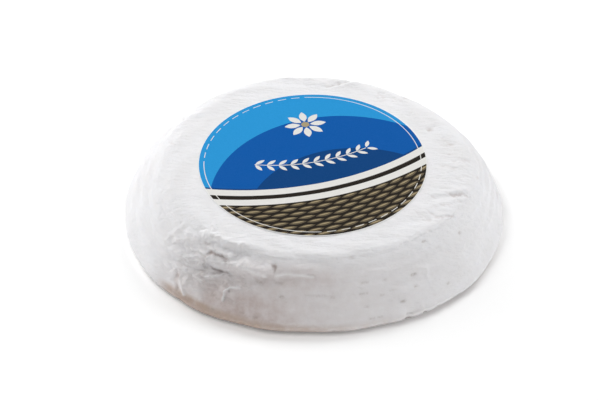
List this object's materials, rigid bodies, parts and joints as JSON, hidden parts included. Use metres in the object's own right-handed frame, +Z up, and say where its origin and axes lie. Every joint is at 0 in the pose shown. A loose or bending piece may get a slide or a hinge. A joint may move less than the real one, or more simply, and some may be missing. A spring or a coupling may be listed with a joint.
{
  "type": "basket cheese wheel",
  "caption": "Low round wheel of soft basket cheese with a white bloomy rind, sloping flank with faint basket rows, and a round printed label on its flat top.",
  "frame": {"origin": "centre of the flat underside that the wheel rests on", "axes": "+Z up through the middle of the wheel and its label, -Y towards the front, +X to the right"},
  "size_m": [0.1978, 0.198, 0.0365],
  "materials": {
    "rind": "matte white mould bloom, slightly velvety, with beige and grey flecks",
    "label_paper": "printed coated paper, satin, in blues, cream and dark brown"
  },
  "bodies": {
    "root": {"cheese_wheel": "rind", "top_label": "label_paper"}
  },
  "joints": []
}
